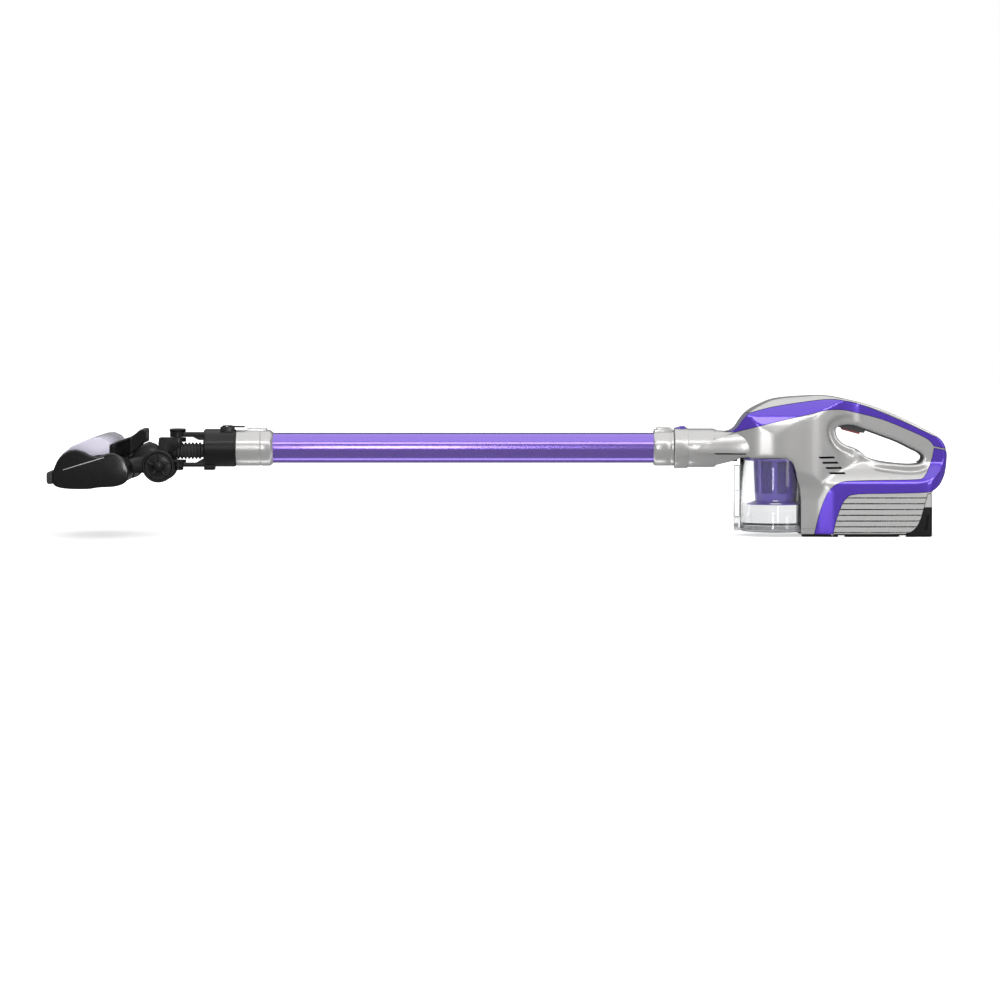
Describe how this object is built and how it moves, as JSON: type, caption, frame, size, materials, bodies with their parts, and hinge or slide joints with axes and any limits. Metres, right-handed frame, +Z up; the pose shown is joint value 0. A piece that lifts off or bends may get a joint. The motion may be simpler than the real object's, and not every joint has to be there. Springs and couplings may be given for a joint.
{
  "type": "cordless stick vacuum",
  "caption": "Cordless stick vacuum with a clear dust cup under the hand unit, a slim wand and a powered brush head on a swivel joint.",
  "frame": {"origin": "on the floor plane under the middle of the machine's length and width, where the base stands", "axes": "+X along the machine towards the handle, +Z up, near side at -Y"},
  "size_m": [1.24, 0.24, 0.1953],
  "materials": {
    "silver_paint": "satin metallic",
    "purple_gloss": "gloss metallic",
    "purple_metal": "anodised, satin",
    "purple_plastic": "satin",
    "grey_plastic": "satin",
    "black_plastic": "satin",
    "gloss_black": "gloss",
    "dark_grip": "matte",
    "red_plastic": "satin",
    "steel": "brushed",
    "board_green": "gloss",
    "white_plastic": "satin",
    "filter_felt": "matte",
    "seal_rubber": "matte",
    "hose_rubber": "satin",
    "cell_wrap": "gloss",
    "clear_cup": "clear",
    "window_clear": "clear, faintly tinted",
    "wheel_plastic": "satin",
    "brush_nylon": "bristle",
    "brass": "turned"
  },
  "bodies": {
    "hand_unit": {"shell_left": "silver_paint", "shell_right": "silver_paint", "spine_cover": "silver_paint", "upper_band": "purple_gloss", "lower_band": "purple_gloss", "rib_panel_left": "grey_plastic", "rib_panel_right": "grey_plastic", "base_tray": "black_plastic", "base_screws": "steel", "grip_insert": "dark_grip", "trigger_housing": "dark_grip", "trigger_spring": "steel", "switch_module": "black_plastic", "circuit_board": "board_green", "motor_can": "steel", "motor_mount": "black_plastic", "motor_bearings": "steel", "exhaust_filter": "filter_felt", "neck_duct": "black_plastic", "neck_collar": "silver_paint", "cup_seal": "seal_rubber"},
    "rotor": {"rotor_shaft": "steel", "impeller": "white_plastic"},
    "trigger": {"trigger": "red_plastic"},
    "battery": {"rear_bumper": "black_plastic", "battery_case": "black_plastic", "battery_cells": "cell_wrap", "charge_socket": "steel"},
    "cup": {"cup_wall": "clear_cup", "lid_pin": "steel", "filter_basket": "purple_plastic", "pleated_filter": "filter_felt"},
    "cup_lid": {"cup_lid": "clear_cup"},
    "wand": {"wand_tube": "purple_metal", "rear_collar": "silver_paint", "front_collar": "silver_paint", "button_spring": "steel"},
    "release_button": {"release_button": "silver_paint"},
    "head_socket": {"socket_yoke": "black_plastic", "latch_pin": "steel", "swivel_pins": "black_plastic"},
    "head_latch": {"head_latch": "black_plastic"},
    "swivel": {"pivot_block": "black_plastic", "wheel_axle": "steel", "swivel_hose": "hose_rubber"},
    "wheel_left": {"wheel_left": "wheel_plastic"},
    "wheel_right": {"wheel_right": "wheel_plastic"},
    "head": {"head_chassis": "black_plastic", "top_cover": "gloss_black", "brush_window": "window_clear", "end_cap_left": "gloss_black", "end_cap_right": "gloss_black", "front_bumper": "seal_rubber", "roller_bearings": "steel", "drive_belt": "seal_rubber", "brush_motor": "steel"},
    "brush": {"brush_roller": "brush_nylon"},
    "pinion": {"motor_pinion": "brass"}
  },
  "joints": [
    {"name": "rotor_spin", "type": "hinge", "parent": "hand_unit", "child": "rotor", "pos_m": [0.4, 0, 0.142], "axis": [1, 0, 0], "continuous": true},
    {"name": "trigger_pull", "type": "slide", "parent": "hand_unit", "child": "trigger", "axis": [0, 0, 1], "range_m": [0, 0.004], "stiffness_N_per_m": 400, "springref_m": -0.001, "deforming": ["trigger_spring"]},
    {"name": "battery_slide", "type": "slide", "parent": "hand_unit", "child": "battery", "axis": [1, 0, 0], "range_m": [0, 0.13]},
    {"name": "cup_drop", "type": "slide", "parent": "hand_unit", "child": "cup", "axis": [0, 0, -1], "range_m": [0, 0.11]},
    {"name": "lid_hinge", "type": "hinge", "parent": "cup", "child": "cup_lid", "pos_m": [0.329, 0, 0.014], "axis": [0, -1, 0], "range_deg": [-85, 0]},
    {"name": "wand_pull", "type": "slide", "parent": "hand_unit", "child": "wand", "axis": [-1, 0, 0], "range_m": [0, 0.055]},
    {"name": "release_press", "type": "slide", "parent": "wand", "child": "release_button", "axis": [0, 0, -1], "range_m": [0, 0.0015], "stiffness_N_per_m": 500, "springref_m": -0.001, "deforming": ["button_spring"]},
    {"name": "head_pull", "type": "slide", "parent": "wand", "child": "head_socket", "axis": [-1, 0, 0], "range_m": [0, 0.036]},
    {"name": "latch_lift", "type": "hinge", "parent": "head_socket", "child": "head_latch", "pos_m": [-0.379, 0, 0.1514], "axis": [0, -1, 0], "range_deg": [0, 10], "stiffness_Nm_per_rad": 0.4, "springref_deg": -11.46},
    {"name": "swivel_turn", "type": "hinge", "parent": "head_socket", "child": "swivel", "pos_m": [-0.4485, 0, 0.122], "axis": [0, 0, 1], "range_deg": [-30, 30], "deforming": ["swivel_hose"]},
    {"name": "wheel_left_spin", "type": "hinge", "parent": "swivel", "child": "wheel_left", "pos_m": [-0.473, -0.033, 0.0977], "axis": [0, 1, 0], "continuous": true},
    {"name": "wheel_right_spin", "type": "hinge", "parent": "swivel", "child": "wheel_right", "pos_m": [-0.473, 0.033, 0.0977], "axis": [0, 1, 0], "continuous": true},
    {"name": "head_pitch", "type": "hinge", "parent": "swivel", "child": "head", "pos_m": [-0.473, 0, 0.0977], "axis": [0, 1, 0], "range_deg": [-12, 75]},
    {"name": "brush_spin", "type": "hinge", "parent": "head", "child": "brush", "pos_m": [-0.583, 0, 0.095], "axis": [0, 1, 0], "continuous": true},
    {"name": "pinion_spin", "type": "hinge", "parent": "head", "child": "pinion", "pos_m": [-0.54, -0.1, 0.092], "axis": [0, 1, 0], "continuous": true}
  ],
  "couplings": [
    {"joint": "pinion_spin", "follows": "brush_spin", "ratio": 2.4}
  ]
}
